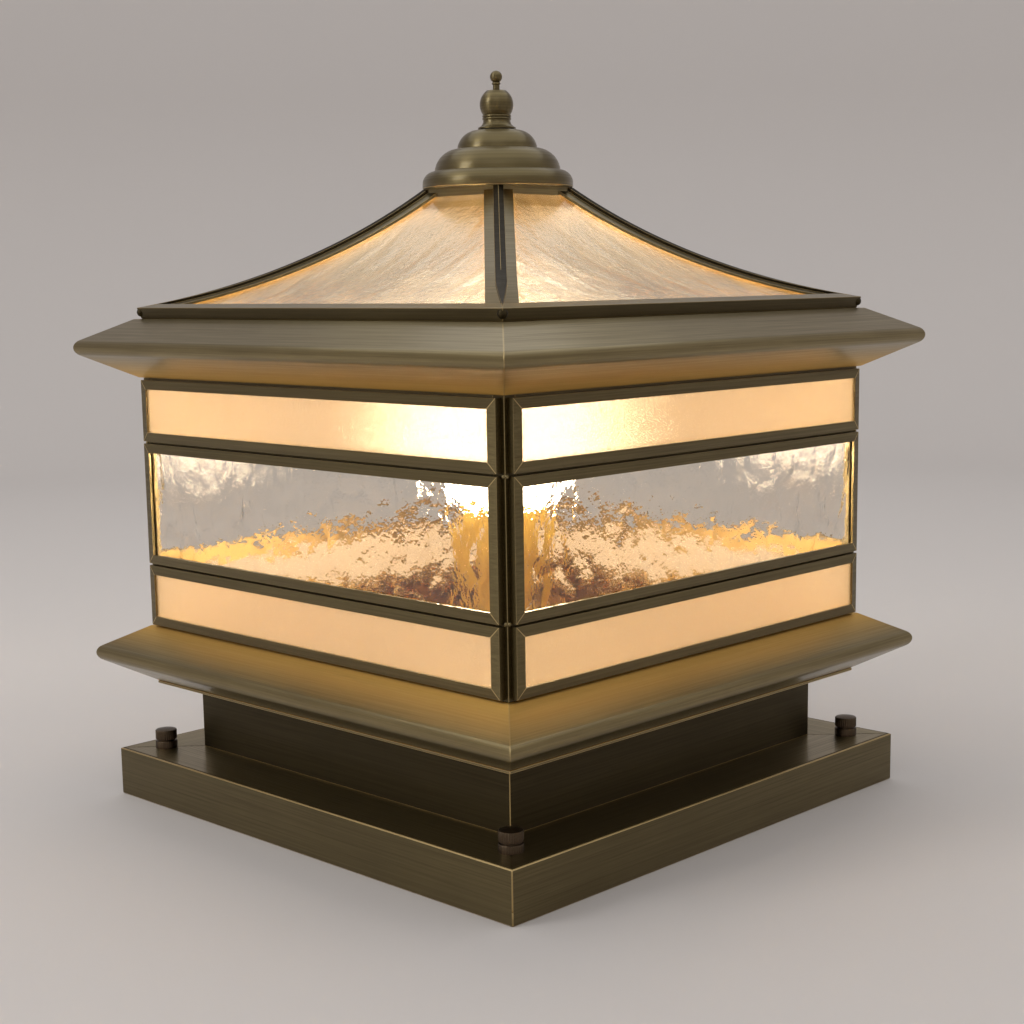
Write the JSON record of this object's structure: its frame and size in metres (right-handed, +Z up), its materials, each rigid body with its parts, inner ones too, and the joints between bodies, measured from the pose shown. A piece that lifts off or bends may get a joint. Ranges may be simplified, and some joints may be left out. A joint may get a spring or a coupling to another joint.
{
  "type": "pillar lantern",
  "caption": "Square pillar lantern in antique brass with opal and hammered panes, two eaves, a swept glass roof that lifts off, a screw-on finial and a lamp inside.",
  "frame": {"origin": "middle of the base tray's underside, on the pillar's top", "axes": "+Z up, +X to the right and +Y to the back, along the lantern's sides"},
  "size_m": [0.2666, 0.2666, 0.3192],
  "materials": {
    "antique_brass": "sheet brass, brushed and browned to an antique bronze",
    "dark_bronze": "turned brass, darkened, knurled",
    "opal_glass": "opal, smooth",
    "hammered_glass": "clear, hammered on one face",
    "amber_glass": "pale amber, streaked",
    "zinc_steel": "zinc plated",
    "porcelain": "glazed",
    "contact_brass": "bare",
    "nickel": "nickel plated",
    "lamp_brass": "spun and lacquered",
    "lamp_diffuser": "moulded diffuser, lit",
    "terminal_plastic": "moulded",
    "lead_cover": "sleeved leads",
    "seal_rubber": "moulded"
  },
  "bodies": {
    "root": {"base_tray": "antique_brass", "neck_box": "antique_brass", "lower_plate": "antique_brass", "lower_eave": "antique_brass", "corner_posts": "antique_brass", "tier_rails": "antique_brass", "upper_eave": "antique_brass", "lower_opal_frame_front": "antique_brass", "lower_opal_frame_right": "antique_brass", "lower_opal_frame_back": "antique_brass", "lower_opal_frame_left": "antique_brass", "clear_frame_front": "antique_brass", "clear_frame_right": "antique_brass", "clear_frame_back": "antique_brass", "clear_frame_left": "antique_brass", "upper_opal_frame_front": "antique_brass", "upper_opal_frame_right": "antique_brass", "upper_opal_frame_back": "antique_brass", "upper_opal_frame_left": "antique_brass", "anchor_collars": "dark_bronze", "anchor_cap_nuts": "dark_bronze", "lower_opal_pane_front": "opal_glass", "lower_opal_pane_right": "opal_glass", "lower_opal_pane_back": "opal_glass", "lower_opal_pane_left": "opal_glass", "upper_opal_pane_front": "opal_glass", "upper_opal_pane_right": "opal_glass", "upper_opal_pane_back": "opal_glass", "upper_opal_pane_left": "opal_glass", "clear_pane_front": "hammered_glass", "clear_pane_right": "hammered_glass", "clear_pane_back": "hammered_glass", "clear_pane_left": "hammered_glass", "crossbar": "zinc_steel", "tie_rod": "zinc_steel", "rod_nuts": "zinc_steel", "small_screws": "zinc_steel", "holder_bracket": "zinc_steel", "lampholder": "porcelain", "holder_shell": "contact_brass", "terminal_block": "terminal_plastic", "supply_leads": "lead_cover", "cable_grommet": "seal_rubber"},
    "roof": {"roof_rim": "antique_brass", "crown": "antique_brass", "cap": "antique_brass", "roof_hip_front_right": "antique_brass", "roof_hip_back_right": "antique_brass", "roof_hip_back_left": "antique_brass", "roof_hip_front_left": "antique_brass", "roof_pane_front": "amber_glass", "roof_pane_right": "amber_glass", "roof_pane_back": "amber_glass", "roof_pane_left": "amber_glass"},
    "washer": {"finial_washer": "seal_rubber"},
    "finial": {"finial": "antique_brass"},
    "lamp_tip": {"lamp_contact": "contact_brass"},
    "lamp": {"lamp_cap": "nickel", "lamp_housing": "lamp_brass", "lamp_globe": "lamp_diffuser"}
  },
  "joints": [
    {"name": "roof_lift", "type": "slide", "parent": "root", "child": "roof", "axis": [0, 0, 1], "range_m": [0, 0.12]},
    {"name": "finial_rise", "type": "slide", "parent": "roof", "child": "washer", "axis": [0, 0, 1], "range_m": [0, 0.0096]},
    {"name": "finial_turn", "type": "hinge", "parent": "washer", "child": "finial", "pos_m": [0, 0, 0.295], "axis": [0, 0, 1], "range_deg": [0, 4320]},
    {"name": "lamp_rise", "type": "slide", "parent": "root", "child": "lamp_tip", "axis": [0, 0, 1], "range_m": [0, 0.02177]},
    {"name": "lamp_turn", "type": "hinge", "parent": "lamp_tip", "child": "lamp", "pos_m": [0, 0, 0.06], "axis": [0, 0, 1], "range_deg": [0, 2160]}
  ],
  "couplings": [
    {"joint": "finial_rise", "follows": "finial_turn", "m_per_rad": 0.00012732},
    {"joint": "lamp_rise", "follows": "lamp_turn", "m_per_rad": 0.00057757}
  ]
}
